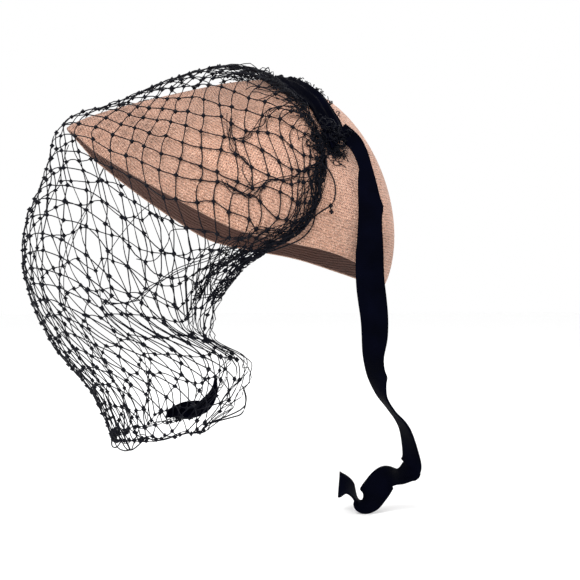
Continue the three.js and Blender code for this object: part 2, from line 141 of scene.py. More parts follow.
EDGE_SECTIONS = dict(
    along=[0.0, 0.1, 0.24, 0.38, 0.52, 0.66, 0.78, 0.9, 1.0],
    dip=[0.12, 0.5, 0.76, 0.93, 1.0, 0.62, 0.26, 0.12, 0.1],
)

DENTS = [
    dict(turn=-40, spread=7, low=-0.2, high=0.62, depth=2.2),
    dict(turn=-150, spread=16, low=0.1, high=0.6, depth=1.2),
]

# The veil's lines from the band to the hem, as shares of its reach, half width, and rise or fall.
VEIL_COLUMNS = ("edge_x", "edge_y", "edge_z", "front_x", "front_z", "side", "round")
VEIL_ROWS = dict(
    band=(0.42, 0.735, 0.3, 0.29, 0.96, 0.735, 2),
    crest=(0.4, 0.75, 0.15, 0.02, 1.0, 0.77, 1.9),
    crown=(0.35, 0.8, 0.0, -0.25, 0.91, 0.83, 1.7),
    peak=(0.28, 0.89, -0.1, -0.53, 0.75, 0.9, 1.55),
    tip=(0.14, 0.94, -0.17, -0.81, 0.6, 0.96, 1.5),
    brow=(0.02, 0.9, -0.25, -0.9, 0.26, 1.0, 1.7),
    eyes=(-0.07, 0.81, -0.37, -1.0, -0.08, 1.0, 1.9),
    cheek=(-0.09, 0.73, -0.52, -0.98, -0.33, 0.93, 2),
    mouth=(0.09, 0.61, -0.64, -0.85, -0.58, 0.8, 2),
    chin=(0.03, 0.55, -0.8, -0.67, -0.78, 0.66, 2),
    hem=(-0.13, 0.45, -0.94, -0.56, -1.0, 0.52, 2),
)

# The tie's run: shares of its drop, swing and standoff, its twist in degrees and share of width.
TIE_COLUMNS = ("down", "back", "out", "turn", "wide")
TIE_FOLDS = [
    (0, 0, 0, 0, 0.6),
    (0.03, 0.16, 0.25, 0, 0.55),
    (0.061, 0.24, 0.45, 0, 0.5),
    (0.1, 0.29, 0.65, 20, 0.46),
    (0.138, 0.3, 0.8, 25, 0.62),
    (0.198, 0.32, 0.95, 20, 0.78),
    (0.296, 0.32, 1, 15, 0.92),
    (0.399, 0.33, 0.98, 0, 1),
    (0.491, 0.39, 0.9, 25, 0.97),
    (0.544, 0.4, 0.88, 35, 0.95),
    (0.604, 0.385, 0.85, 58, 0.95),
    (0.657, 0.435, 0.8, 66, 0.95),
    (0.703, 0.505, 0.7, 84, 0.95),
    (0.741, 0.64, 0.62, 90, 0.95),
    (0.776, 0.79, 0.55, 85, 0.95),
    (0.812, 0.88, 0.45, 80, 0.95),
    (0.875, 0.96, 0.3, 70, 0.98),
    (0.898, 0.965, 0.15, 62, 1),
    (0.913, 0.945, 0, 66, 1),
    (0.928, 0.84, -0.1, 71, 1),
    (0.931, 0.66, -0.2, 50, 1),
    (0.968, 0.51, -0.3, 28, 1),
    (0.995, 0.41, -0.4, 50, 1),
    (1, 0.3, -0.6, 77, 1),
    (0.967, 0.2, -0.8, 63, 1),
    (0.957, 0.07, -1.1, 35, 1),
]

# Small kinks in the tie's rear edge: place in the table of folds, half length in places, and reach out.
TIE_KINKS = [(5.14, 0.22, 1.5), (10.94, 0.2, 1.5)]

# The cut end's slant across the ribbon, and over how many places it grows.
TIE_CUT_SLANT, TIE_CUT_PLACES = 9.0, 1.5

# The bow's two lobes along the veil: place, stand-off, twist and width.
BOW_COLUMNS = ("around", "down", "out", "turn", "wide")
BOW_LOBES = dict(
    lying=[
        (0.8725, 0.97, 0.2, 0, 0.06),
        (0.9, 0.962, 0.5, 0, 0.62),
        (0.93, 0.957, 0.7, 0, 1),
        (0.96, 0.954, 0.6, 0, 1),
        (0.982, 0.952, 0.5, 0, 0.82),
        (0.996, 0.951, 0.5, 0, 0.3),
    ],
    upright=[
        (0.985, 0.968, 0.7, 4, 0.35),
        (0.986, 0.95, 1.1, 6, 0.72),
        (0.988, 0.93, 1.3, 8, 0.66),
        (0.984, 0.905, 1.5, 10, 0.42),
        (0.975, 0.868, 1.6, 12, 0.05),
    ],
)

# Creases of the net: how wide a strip they draw in, how strongly, how many strands lie bunched along
# them, and their run in shares around and down the veil.
CREASE_PULL = 0.85
CREASE_WANDER, CREASE_POINTS = 2.4, 36
CREASES = [
    (17.0, 0.82, 3, [(0.2, 0.68), (0.135, 0.66), (0.115, 0.628), (0.088, 0.565), (0.072, 0.505),
                     (0.07, 0.435), (0.05, 0.4)]),
    (17.0, 0.85, 4, [(0.155, 0.325), (0.118, 0.318), (0.103, 0.258), (0.065, 0.17), (0.02, 0.06)]),
    (12.0, 0.75, 3, [(0.235, 0.193), (0.208, 0.225), (0.175, 0.245), (0.152, 0.253), (0.118, 0.3)]),
    (12.0, 0.7, 3, [(0.2, 0.02), (0.2, 0.1), (0.18, 0.17), (0.19, 0.22)]),
    (11.0, 0.6, 1, [(0.05, 0.16), (0.045, 0.28), (0.06, 0.36), (0.05, 0.42)]),
    (10.0, 0.6, 1, [(0.1, 0.44), (0.14, 0.47), (0.12, 0.53), (0.15, 0.58)]),
    (12.0, 0.7, 2, [(0.35, 0.0), (0.34, 0.08), (0.36, 0.16)]),
    (12.0, 0.7, 2, [(0.5, 0.0), (0.47, 0.09), (0.49, 0.2)]),
    (12.0, 0.7, 2, [(0.66, 0.0), (0.64, 0.12), (0.66, 0.24)]),
    (14.0, 0.75, 3, [(0.82, 0.0), (0.83, 0.12), (0.8, 0.26)]),
    (14.0, 0.6, 1, [(0.6, 0.42), (0.61, 0.62), (0.63, 0.84), (0.62, 0.98)]),
    (14.0, 0.65, 2, [(0.7, 0.38), (0.71, 0.58), (0.7, 0.8), (0.72, 0.98)]),
    (14.0, 0.6, 1, [(0.8, 0.4), (0.79, 0.6), (0.81, 0.8), (0.8, 0.97)]),
]

# Threads gathered into the side edges and the hem: strands, how far they wander, points of each
# strand, and their run in shares around and down the veil.
EDGE_BUNDLES = [
    (15, 5.0, 90, [(0.0, 0.02), (0.012, 0.12), (0.004, 0.28), (0.006, 0.42), (0.006, 0.6)]),
    (5, 4.0, 60, [(0.006, 0.55), (0.004, 0.7), (0.012, 0.8), (0.01, 0.9), (0.004, 0.995)]),
    (11, 5.0, 60, [(0.02, 0.015), (0.034, 0.12), (0.028, 0.28), (0.03, 0.42), (0.012, 0.6)]),
    (8, 5.0, 60, [(0.98, 0.015), (0.966, 0.12), (0.972, 0.28), (0.97, 0.42), (0.988, 0.6)]),
    (12, 5.0, 90, [(1.0, 0.02), (0.988, 0.12), (0.996, 0.28), (0.994, 0.42), (0.994, 0.6)]),
    (4, 4.0, 60, [(0.994, 0.55), (0.996, 0.7), (0.988, 0.8), (0.99, 0.9), (0.996, 0.995)]),
    (3, 2.4, 130, [(k / 12, 0.99 + 0.006 * (-1) ** k) for k in range(13)]),
]

# Threads hanging free: places around and down the veil, with offsets in millimetres.
HANGING_LOOPS = [
    [(0, 0.05, 0, 0, 0), (0, 0.09, 6, 0, -2), (0, 0.15, 8, 0, -3), (0, 0.21, 3, 0, 0),
     (0.01, 0.27, 0, 0, 0)],
    [(0, 0.2, 0, 0, 0), (0, 0.25, 3, 0, -1), (0, 0.31, 4, 0, -1), (0, 0.37, 4, 0, 0),
     (0.01, 0.43, 0, 0, 0)],
    [(0.004, 0.868, 0, 0, 0), (0, 0.9, 5, 0, 0), (0, 0.93, 9, 0, -1), (0, 0.95, 7, 0, 1),
     (0.01, 0.985, 0, 0, 4)],
    [(0.01, 0.86, 0, 0, 0), (0, 0.89, 3.5, 0, 0), (0, 0.925, 8, 0, 1), (0, 0.955, 3, 0, 2),
     (0.02, 0.98, 0, 0, 3)],
    [(0.996, 0.868, 0, 0, 0), (1, 0.9, 5, 0, 0), (1, 0.93, 9, 0, -1), (1, 0.95, 7, 0, 1),
     (0.99, 0.985, 0, 0, 4)],
    [(0.22, 0.98, 0, 0, 0), (0.26, 1, 0, 0, -1.5), (0.3, 1, 0, 0, -4.5), (0.34, 1, 0, 0, -2.5),
     (0.37, 0.97, 0, 0, 0)],
    [(0.25, 0.96, 0, 0, 0), (0.28, 0.99, 0, -1, -1), (0.3, 1, 0, -1, -4.2), (0.32, 0.99, 0, -1, -1),
     (0.35, 0.95, 0, 0, 0)],
    [(0.3, 0.93, 0, 0, 0), (0.32, 0.98, -1, 0, 0), (0.31, 1, 0, 0, -4.4), (0.36, 1, -3, 0, -3),
     (0.42, 0.97, -1, 0, 0)],
    [(0.38, 0.96, 0, 0, 0), (0.39, 0.98, -3, 0, 0), (0.4, 1, -4, 0, -2), (0.38, 1, -2, 0, -2.5),
     (0.36, 0.99, 0, 0, 0)],
]


def mix(low, high, share):
    return low + (high - low) * share


def super_radius(share, power):
    return ((1 - share) ** power + share**power) ** (-1 / power)


def smooth_column(values, place):
    """The value of a table's column at places between its rows, on a smooth curve."""
    values = np.asarray(values, float)
    place = np.asarray(place, float)
    cell = np.clip(np.floor(place).astype(int), 0, len(values) - 2)
    t = place - cell
    row = lambda k: values[np.clip(cell + k, 0, len(values) - 1)]
    slope_from = (row(1) - row(-1)) / 2
    slope_to = (row(2) - row(0)) / 2
    t2, t3 = t * t, t * t * t
    return (
        (2 * t3 - 3 * t2 + 1) * row(0)
        + (t3 - 2 * t2 + t) * slope_from
        + (3 * t2 - 2 * t3) * row(1)
        + (t3 - t2) * slope_to
    )


def table_columns(rows, names):
    """A table's columns by their names."""
    return {name: np.array([row[k] for row in rows], float) for k, name in enumerate(names)}


def smooth_line(points, place):
    """Points at places between a line's points, on a smooth curve."""
    return np.stack([smooth_column(points[:, axis], place) for axis in range(points.shape[1])], -1)


def legs(line):
    """The distances from each point of a line to the next."""
    return np.linalg.norm(np.diff(line, axis=0), axis=-1)


def edge_height(along):
    share = np.clip(np.asarray(along, float) / CROWN_LENGTH, 0, 1)
    place = np.interp(share, EDGE_SECTIONS["along"], np.arange(len(EDGE_SECTIONS["along"])))
    return -EDGE_DIP * smooth_column(EDGE_SECTIONS["dip"], place)


def plan_power(sideways, peakward):
    pointed = mix(PLAN_PEAK, PLAN_BACK, sideways**4) + (PLAN_TIP - PLAN_PEAK) * (1 - sideways) ** 10
    return np.where(peakward, pointed, PLAN_BACK)


def rise_power(sideways, peakward, rise):
    base = mix(np.where(peakward, RISE_PEAK, RISE_BACK), RISE_SIDE, sideways**1.5)
    return mix(base, RISE_APEX, rise**4)


def outline(sideways, peakward, left, shorter):
    k = super_radius(sideways, plan_power(sideways, peakward))
    reach = np.where(peakward, -(APEX_ALONG - shorter), CROWN_LENGTH - APEX_ALONG - shorter)
    across = (CROWN_HALF_WIDTH - shorter) * np.where(left, -1.0, 1.0)
    return APEX_ALONG + reach * (1 - sideways) * k, across * sideways * k


def dent_depth(turn, rise):
    depth = np.zeros(np.broadcast(turn, rise).shape)
    for dent in DENTS:
        side = np.abs((turn - dent["turn"] + 540) % 360 - 180) / dent["spread"]
        middle = (dent["low"] + dent["high"]) / 2
        upright = np.abs(rise - middle) / ((dent["high"] - dent["low"]) / 2)
        inside = (side < 2) & (upright < 1)
        depth += np.where(inside, dent["depth"] * np.exp(-side * side * 1.6) * (1 - upright**4), 0)
    return depth


def crown_point(turn, rise, shorter):
    """Points of the crown in the hat's frame: turn in degrees, rise 0 at the edge, 1 at the apex."""
    turn, rise = np.broadcast_arrays(np.asarray(turn, float), np.asarray(rise, float))
    c, s = np.cos(np.radians(turn)), np.sin(np.radians(turn))
    sideways = np.abs(s) / (np.abs(c) + np.abs(s))
    rim_along, rim_across = outline(sideways, c < 0, s < 0, shorter)
    k = super_radius(rise, rise_power(sideways, c < 0, rise))
    reach = np.maximum(0, (1 - rise) * k - dent_depth(turn, rise) / CROWN_HALF_WIDTH)
    edge = edge_height(rim_along)
    height = edge + rise * k * (CROWN_HEIGHT - shorter - edge)
    return np.stack([mix(APEX_ALONG, rim_along, reach), rim_across * reach, height], -1)


def clear_of_crown(points, lift):
    """Moves points that are nearer the crown than the lift out to the lift."""
    fade = 30.0
    along = points[..., 0] - APEX_ALONG
    across = points[..., 1]
    peakward = along < 0
    du = np.abs(along) / np.where(peakward, APEX_ALONG, CROWN_LENGTH - APEX_ALONG)
    dv = np.abs(across) / CROWN_HALF_WIDTH
    total = np.maximum(du + dv, 1e-9)
    sideways = dv / total
    out = total / super_radius(sideways, plan_power(sideways, peakward))
    edge = edge_height(outline(sideways, peakward, across < 0, 0)[0])
    up = (points[..., 2] - edge) / (CROWN_HEIGHT - edge)
    above = np.maximum(up, 1e-9)
    power = rise_power(sideways, peakward, above / (out + above))
    size = (out**power + above**power) ** (1 / power)
    over = np.maximum(1, (1 + lift / CROWN_HALF_WIDTH) / size)
    needed = 1 + lift / CROWN_HALF_WIDTH - (edge - points[..., 2]) / fade
    below = np.maximum(1, needed / out)
    scale = np.where(up > 0, over, below)
    height = np.where(up > 0, edge + up * scale * (CROWN_HEIGHT - edge), points[..., 2])
    return np.stack([APEX_ALONG + along * scale, across * scale, height], -1)


def from_hat(points):
    along, up = points[..., 0] - SEAT_ALONG, points[..., 2] + SEAT_BELOW
    c, s = math.cos(OPENING_TILT), math.sin(OPENING_TILT)
    return np.stack([along * c + up * s, points[..., 1], up * c - along * s], -1)


def to_hat(points):
    c, s = math.cos(OPENING_TILT), math.sin(OPENING_TILT)
    x, z = points[..., 0], points[..., 2]
    return np.stack([x * c - z * s + SEAT_ALONG, points[..., 1], x * s + z * c - SEAT_BELOW], -1)


def on_crown(along, across, lift):
    """Points over the crown at places in plan, at a lift above the straw."""
    along, across = np.broadcast_arrays(np.asarray(along, float), np.asarray(across, float))
    low, high = np.zeros(along.shape), np.full(along.shape, CROWN_HEIGHT * 1.5)
    for _ in range(30):
        middle = (low + high) / 2
        points = np.stack([along, across, middle], -1)
        moved = np.linalg.norm(clear_of_crown(points, lift) - points, axis=-1) > 1e-6
        low, high = np.where(moved, middle, low), np.where(moved, high, middle)
    return np.stack([along, across, high], -1)


def band_plan(across, over):
    sweep = BAND_END_ALONG - BAND_CREST_ALONG
    slope = 2 * sweep * across / BAND_END_OUT**2
    length = np.hypot(1, slope)
    middle = BAND_CREST_ALONG + sweep * (across / BAND_END_OUT) ** 2
    return middle - over / length, across + over * slope / length


def veil_point(around, down):
    """The veil's surface: around from the left edge to the right one, down from band to hem."""
    around, down = np.broadcast_arrays(np.asarray(around, float), np.asarray(down, float))
    around, down = np.clip(around, 0, 1), np.clip(down, 0, 1)
    place = down * (len(VEIL_ROWS) - 1)
    columns = table_columns(VEIL_ROWS.values(), VEIL_COLUMNS)
    value = {name: smooth_column(column, place) for name, column in columns.items()}
    height = lambda share: share * np.where(share > 0, VEIL_RISE, VEIL_FALL)
    angle = np.pi * around
    power = 2 / value["round"]
    forward = np.maximum(0, np.sin(angle)) ** power
    sideways = np.sign(np.cos(angle)) * np.abs(np.cos(angle)) ** power
    out = mix(value["side"], value["edge_y"], np.abs(np.cos(angle)) ** 8)
    free = np.stack(
        [
            VEIL_REACH * mix(value["edge_x"], value["front_x"], forward),
            -VEIL_HALF_WIDTH * out * sideways,
            mix(height(value["edge_z"]), height(value["front_z"]), forward),
        ],
        -1,
    )
    hanging = np.clip((down - HANGS_FROM) / HANGS_OVER, 0, 1)
    far_side = np.exp(-(((around - PLEAT_PLACE) / PLEAT_SPREAD) ** 2))
    free[..., 1] += PLEAT_DEPTH * hanging * far_side * np.sin(around * PLEAT_WAVES)
    hat = clear_of_crown(to_hat(free), NET_LIFT)
    near = np.clip(1 - down / SEATED_TO, 0, 1)[..., None] ** 2
    front = BAND_WIDTH / 2 + SEAT_GAP + VEIL_THICKNESS / 2
    seat = on_crown(*band_plan(-BAND_END_OUT * np.cos(angle), front), NET_LIFT)
    return from_hat(clear_of_crown(mix(hat, seat, near), NET_LIFT))


def veil_normal(around, down):
    step = 0.004
    across = veil_point(around + step, down) - veil_point(around - step, down)
    along = veil_point(around, down + step) - veil_point(around, down - step)
    normal = np.cross(across, along)
    return normal / np.linalg.norm(normal, axis=-1, keepdims=True)


def mesh_piece(name, points, faces, material, uv=None):
    mesh = bpy.data.meshes.new(name)
    mesh.from_pydata((np.asarray(points) * MM).tolist(), [], [list(map(int, f)) for f in faces])
    mesh.validate()
    mesh.polygons.foreach_set("use_smooth", [True] * len(mesh.polygons))
    if uv is not None:
        layer = mesh.uv_layers.new(name="UVMap")
        layer.data.foreach_set("uv", np.asarray(uv, float).reshape(-1))
    mesh.materials.append(material)
    piece = bpy.data.objects.new(name, mesh)
    bpy.context.scene.collection.objects.link(piece)
    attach(piece, "root")
    return piece


def grid_faces(rows, columns, closed=False, offset=0, flip=False):
    """Quads of a grid of points, and each corner's row and column for texture coordinates."""
    faces, places = [], []
    last = columns if closed else columns - 1
    for i in range(rows - 1):
        for j in range(last):
            quad = [(i, j), (i + 1, j), (i + 1, j + 1), (i, j + 1)]
            if flip:
                quad.reverse()
            faces.append([offset + r * columns + c % columns for r, c in quad])
            places.extend(quad)
    return faces, places


def thick_sheet(name, grid, thickness, material):
    """A closed sheet of even thickness about a grid of points."""
    grid = np.asarray(grid, float)
    rows, columns = grid.shape[:2]
    down = np.gradient(grid, axis=0)
    over = np.gradient(grid, axis=1)
    normal = np.cross(down, over)
    normal /= np.maximum(np.linalg.norm(normal, axis=-1, keepdims=True), 1e-9)
    half = normal * thickness / 2
    points = np.concatenate([(grid + half).reshape(-1, 3), (grid - half).reshape(-1, 3)])
    count = rows * columns
    faces, places = grid_faces(rows, columns)
    under, under_places = grid_faces(rows, columns, offset=count, flip=True)
    faces += under
    places += under_places
    rim = [(i, 0) for i in range(rows)] + [(rows - 1, j) for j in range(1, columns)]
    rim += [(i, columns - 1) for i in range(rows - 2, -1, -1)] + [(0, j) for j in range(columns - 2, 0, -1)]
    for k, here in enumerate(rim):
        after = rim[(k + 1) % len(rim)]
        a, b = here[0] * columns + here[1], after[0] * columns + after[1]
        faces.append([b, a, a + count, b + count])
        places.extend([after, here, here, after])
    length = np.concatenate([[0], np.cumsum(legs(grid[:, columns // 2]))])
    width = np.concatenate([[0], np.cumsum(legs(grid[rows // 2]))])
    uv = [(width[c] * MM, length[r] * MM) for r, c in places]
    return mesh_piece(name, points, faces, material, uv)


def tubes(paths, radii):
    """Points and faces of many closed tubes at once: paths is n x k x 3, radii n x k or k."""
    sides = 4
    paths = np.asarray(paths, float)
    n, k = paths.shape[:2]
    radii = np.broadcast_to(np.asarray(radii, float), (n, k))
    run = np.gradient(paths, axis=1)
    run /= np.maximum(np.linalg.norm(run, axis=-1, keepdims=True), 1e-9)
    helper = np.where(np.abs(run[..., 2:3]) < 0.9, [0.0, 0.0, 1.0], [1.0, 0.0, 0.0])
    side = np.cross(run, helper)
    side /= np.linalg.norm(side, axis=-1, keepdims=True)
    other = np.cross(run, side)
    turns = np.arange(sides) * 2 * np.pi / sides
    ring = side[:, :, None] * np.cos(turns)[:, None] + other[:, :, None] * np.sin(turns)[:, None]
    points = paths[:, :, None] + ring * radii[:, :, None, None]
    base = (np.arange(n) * k * sides)[:, None, None]
    i = np.arange(k - 1)[None, :, None] * sides
    j = np.arange(sides)[None, None, :]
    after = (j + 1) % sides
    quads = np.stack([base + i + j, base + i + after, base + i + sides + after, base + i + sides + j], -1)
    ends = np.concatenate(
        [base[:, 0] + np.arange(sides)[::-1], base[:, 0] + (k - 1) * sides + np.arange(sides)]
    )
    return points.reshape(-1, 3), list(quads.reshape(-1, 4)) + list(ends)


def joined(parts):
    points, faces, offset = [], [], 0
    for part_points, part_faces in parts:
        points.append(part_points)
        faces.extend([np.asarray(face) + offset for face in part_faces])
        offset += len(part_points)
    return np.concatenate(points), faces


class Nodes:
    """A short way to write a material's node tree."""

    def __init__(self, name):
        self.material = bpy.data.materials.new(name)
        self.material.use_nodes = True
        self.tree = self.material.node_tree
        self.shader = self.tree.nodes["Principled BSDF"]

    def add(self, kind, inputs=(), **settings):
        node = self.tree.nodes.new(kind)
        for key, value in settings.items():
            setattr(node, key, value)
        for key, value in dict(inputs).items():
            self.put(value, node.inputs[key])
        return node

    def put(self, value, socket):
        if isinstance(value, bpy.types.NodeSocket):
            self.tree.links.new(value, socket)
        else:
            socket.default_value = value

    def math(self, operation, a, b=0.0):
        node = self.add("ShaderNodeMath", operation=operation)
        self.put(a, node.inputs[0])
        self.put(b, node.inputs[1])
        return node.outputs[0]

    def noise(self, coordinates, scale, detail):
        node = self.add("ShaderNodeTexNoise", {"Vector": coordinates, "Scale": scale, "Detail": detail})
        return node.outputs["Fac"]

    def blend(self, factor, a, b):
        node = self.add("ShaderNodeMix", data_type="RGBA")
        self.put(factor, node.inputs["Factor"])
        self.put(a, node.inputs[6])
        self.put(b, node.inputs[7])
        return node.outputs[2]

    def span(self, value, low, high, to_low=0.0, to_high=1.0):
        node = self.add(
            "ShaderNodeMapRange",
            {"Value": value, "From Min": low, "From Max": high, "To Min": to_low, "To Max": to_high},
        )
        return node.outputs[0]

    def bump(self, height, distance, strength):
        node = self.add("ShaderNodeBump", {"Height": height, "Distance": distance, "Strength": strength})
        self.put(node.outputs[0], self.shader.inputs["Normal"])


def straw_material():
    """Fine straw cloth: rows round the form crossed by ribs that double as the form widens."""
    row_pitch, ribs = 0.0019, 208.0
    n = Nodes("straw")
    uv = n.add("ShaderNodeUVMap", uv_map="UVMap").outputs[0]
    place = n.add("ShaderNodeTexCoord").outputs["Object"]
    parts = n.add("ShaderNodeSeparateXYZ", {"Vector": uv})
    wobble = n.math("MULTIPLY", n.math("SUBTRACT", n.noise(place, 60.0, 2.0), 0.5), 0.0022)
    distance = n.math("ADD", parts.outputs["Y"], wobble)
    rows = n.math("SINE", n.math("MULTIPLY", distance, 2 * math.pi / row_pitch))
    octave = n.math("FLOOR", n.math("LOGARITHM", n.math("MAXIMUM", parts.outputs["Y"], 0.002), 2.0))
    count = n.math("MULTIPLY", n.math("POWER", 2.0, n.math("ADD", octave, 5.0)), ribs)
    turn = n.math("ADD", parts.outputs["X"], n.math("MULTIPLY", wobble, 0.6))
    crossing = n.math("SINE", n.math("MULTIPLY", n.math("MULTIPLY", turn, count), 2 * math.pi))
    weave = n.math("MULTIPLY", rows, crossing)
    grain = n.noise(place, 620.0, 3.0)
    fine = n.noise(place, 1500.0, 2.0)
    ridges = n.math("ADD", n.math("MULTIPLY", weave, 0.45), n.math("MULTIPLY", rows, 0.4))
    height = n.math("ADD", ridges, n.math("MULTIPLY", grain, 1.1))
    n.bump(n.math("ADD", height, n.math("MULTIPLY", fine, 0.3)), 0.001, 0.9)
    patches = n.noise(place, 14.0, 3.0)
    base = n.blend(n.span(patches, 0.35, 0.65), (0.62, 0.315, 0.205, 1), (0.71, 0.385, 0.27, 1))
    speckle = n.span(n.math("ADD", n.math("MULTIPLY", ridges, 0.34), grain), 0.26, 0.62)
    colour = n.blend(speckle, (0.21, 0.095, 0.062, 1), base)
    bright = n.blend(n.span(fine, 0.52, 0.64, 0.0, 0.85), colour, (0.97, 0.635, 0.48, 1))
    # Painted shade: the crown's inside is painted deep dark brown, standing in for the shadow that falls
    # inside the hat.
    inside = n.math("GREATER_THAN", parts.outputs["X"], INSIDE_TURN - 0.5)
    n.put(n.blend(inside, bright, (0.16, 0.075, 0.055, 1)), n.shader.inputs["Base Color"])
    n.put(n.span(grain, 0.3, 0.7, 0.5, 0.8), n.shader.inputs["Roughness"])
    n.shader.inputs["Sheen Weight"].default_value = 0.12
    n.shader.inputs["Sheen Roughness"].default_value = 0.5
    n.shader.inputs["Specular IOR Level"].default_value = 0.35
    return n.material


def velvet_material():
    """Deep navy pile with fine ribs along the cloth."""
    n = Nodes("velvet")
    place = n.add("ShaderNodeTexCoord").outputs["Object"]
    uv = n.add("ShaderNodeUVMap", uv_map="UVMap").outputs[0]
    pile = n.noise(place, 1400.0, 2.0)
    nap = n.noise(place, 55.0, 3.0)
    parts = n.add("ShaderNodeSeparateXYZ", {"Vector": uv})
    ribs = n.math("SINE", n.math("MULTIPLY", parts.outputs["Y"], 5200.0))
    colour = n.blend(n.span(nap, 0.35, 0.7), (0.0004, 0.0006, 0.0024, 1), (0.0011, 0.0014, 0.005, 1))
    n.put(colour, n.shader.inputs["Base Color"])
    n.put(n.span(nap, 0.3, 0.7, 0.62, 0.85), n.shader.inputs["Roughness"])
    n.bump(n.math("ADD", n.math("MULTIPLY", ribs, 0.25), pile), 0.0003, 0.6)
    n.shader.inputs["Sheen Weight"].default_value = 0.004
    n.shader.inputs["Sheen Roughness"].default_value = 0.35
    n.shader.inputs["Sheen Tint"].default_value = (0.20, 0.27, 0.62, 1)
    n.shader.inputs["Specular IOR Level"].default_value = 0.012
    return n.material


def net_material():
    """Black thread with a faint twist."""
    n = Nodes("net")
    place = n.add("ShaderNodeTexCoord").outputs["Object"]
    twist = n.noise(place, 1800.0, 2.0)
    colour = n.blend(twist, (0.0008, 0.001, 0.0024, 1), (0.004, 0.0048, 0.011, 1))
    n.put(colour, n.shader.inputs["Base Color"])
    n.put(n.span(twist, 0.3, 0.7, 0.4, 0.65), n.shader.inputs["Roughness"])
    n.bump(twist, 0.0002, 0.5)
    n.shader.inputs["Specular IOR Level"].default_value = 0.1
    return n.material


def stage_material(name, colour, roughness):
    n = Nodes(name)
    n.shader.inputs["Base Color"].default_value = colour
    n.shader.inputs["Roughness"].default_value = roughness
    return n.material


def build_crown(material):
    """Outer and inner straw surface with a rounded lip at the edge, as one closed skin."""
    around, rings, rings_crowded = 240, 84, 0.9
    lip_angles = (30, 90, 150)
    turns = np.arange(around) * 360.0 / around
    rises = np.linspace(1, 0, rings + 1)[1:] ** rings_crowded
    layers = [crown_point(turns, rise, 0) for rise in rises]
    for angle in lip_angles:
        share = (1 - math.cos(math.radians(angle))) / 2
        lip = crown_point(turns, 0, CROWN_WALL * share)
        lip[:, 2] -= CROWN_WALL * 0.5 * math.sin(math.radians(angle))
        layers.append(lip)
    layers += [crown_point(turns, rise, CROWN_WALL) for rise in rises[::-1]]
    grid = np.stack(layers)
    apexes = np.stack([crown_point(0, 1, 0), crown_point(0, 1, CROWN_WALL)])
    previous = np.broadcast_to(apexes[0], grid[0].shape)
    total = np.zeros(around)
    distance = []
    for layer in grid:
        total = total + np.linalg.norm(layer - previous, axis=-1)
        distance.append(total)
        previous = layer
    distance = np.stack(distance)
    first_inside = len(rises) + len(lip_angles)
    distance[first_inside:] = distance[: len(rises)][::-1]
    rows = len(grid)
    points = np.concatenate([from_hat(grid).reshape(-1, 3), from_hat(apexes)])
    faces, places = grid_faces(rows, around, closed=True)
    uv = [(c / around + INSIDE_TURN * (r >= first_inside), distance[r, c % around] * MM) for r, c in places]
    top, bottom, last = rows * around, rows * around + 1, (rows - 1) * around
    for j in range(around):
        after = (j + 1) % around
        here, there = j / around, (j + 1) / around
        faces.append([top, j, after])
        uv += [(here, 0), (here, distance[0, j] * MM), (there, distance[0, after] * MM)]
        faces.append([bottom, last + after, last + j])
        uv += [(INSIDE_TURN + here, 0), (INSIDE_TURN + there, distance[-1, after] * MM)]
        uv.append((INSIDE_TURN + here, distance[-1, j] * MM))
    crown = mesh_piece("crown_straw", points, faces, material, uv)
    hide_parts("crown")
    return crown


def build_band(material):
    """Velvet ribbon bunched across the crown: three soft folds that wander along its length."""
    steps, columns = 150, 26
    taper, ripple, fine_ripple = 0.22, 0.035, 0.02
    fold_height, fold_pace, crease_height, crease_pace, pressed = 0.75, 15.5, 0.3, 33, 0.9
    room = 2
    across = np.linspace(-1, 1, steps + 1)[:, None]
    over = np.linspace(0.5, -0.5, columns + 1)[None, :]
    ends = 1 - taper * np.abs(across) ** 6
    wander = 0.6 * np.sin(across * 9.0) + 0.4 * np.sin(across * 17.0 + 1.3)
    edge = 1 + ripple * np.sin(across * 31.0 + 4 * over) + fine_ripple * np.sin(across * 53.0)
    plan = band_plan(across * BAND_END_OUT, over * BAND_WIDTH * ends * edge)
    folds = fold_height * np.sin(over * fold_pace + wander)
    folds = folds + crease_height * np.sin(over * crease_pace + across * 12)
    lift = BAND_LIFT + folds * (1 - (2 * np.abs(over)) ** 6) * pressed
    low = on_crown(*np.broadcast_arrays(*plan), BAND_LIFT)
    high = on_crown(*np.broadcast_arrays(*plan), BAND_LIFT + room)
    grid = mix(low, high, ((lift - BAND_LIFT) / room)[..., None])
    band = thick_sheet("band_velvet", from_hat(grid), BAND_CLOTH, material)
    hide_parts("ribbon_band")
    return band


def ribbon_grid(at, turn, width, facing, per_place, columns, cup):
    """A ribbon's middle surface along a smooth run; the face looks one way, turned about the run."""
    count = (len(at) - 1) * per_place + 1
    place = np.linspace(0, len(at) - 1, count)
    line = smooth_line(at, place)
    run = np.gradient(line, axis=0)
    run /= np.linalg.norm(run, axis=-1, keepdims=True)
    face = facing - run * (run @ facing)[:, None]
    face /= np.linalg.norm(face, axis=-1, keepdims=True)
    side = np.cross(run, face)
    angle = np.radians(smooth_column(turn, place))[:, None]
    turned_face = face * np.cos(angle) + side * np.sin(angle)
    turned_side = np.cross(run, turned_face)
    wide = smooth_column(width, place)[:, None, None]
    share = np.linspace(-0.5, 0.5, columns + 1)[None, :, None]
    bend = (cup * wide * (0.25 - share**2)) * turned_face[:, None]
    return line[:, None] + turned_side[:, None] * share * wide + bend


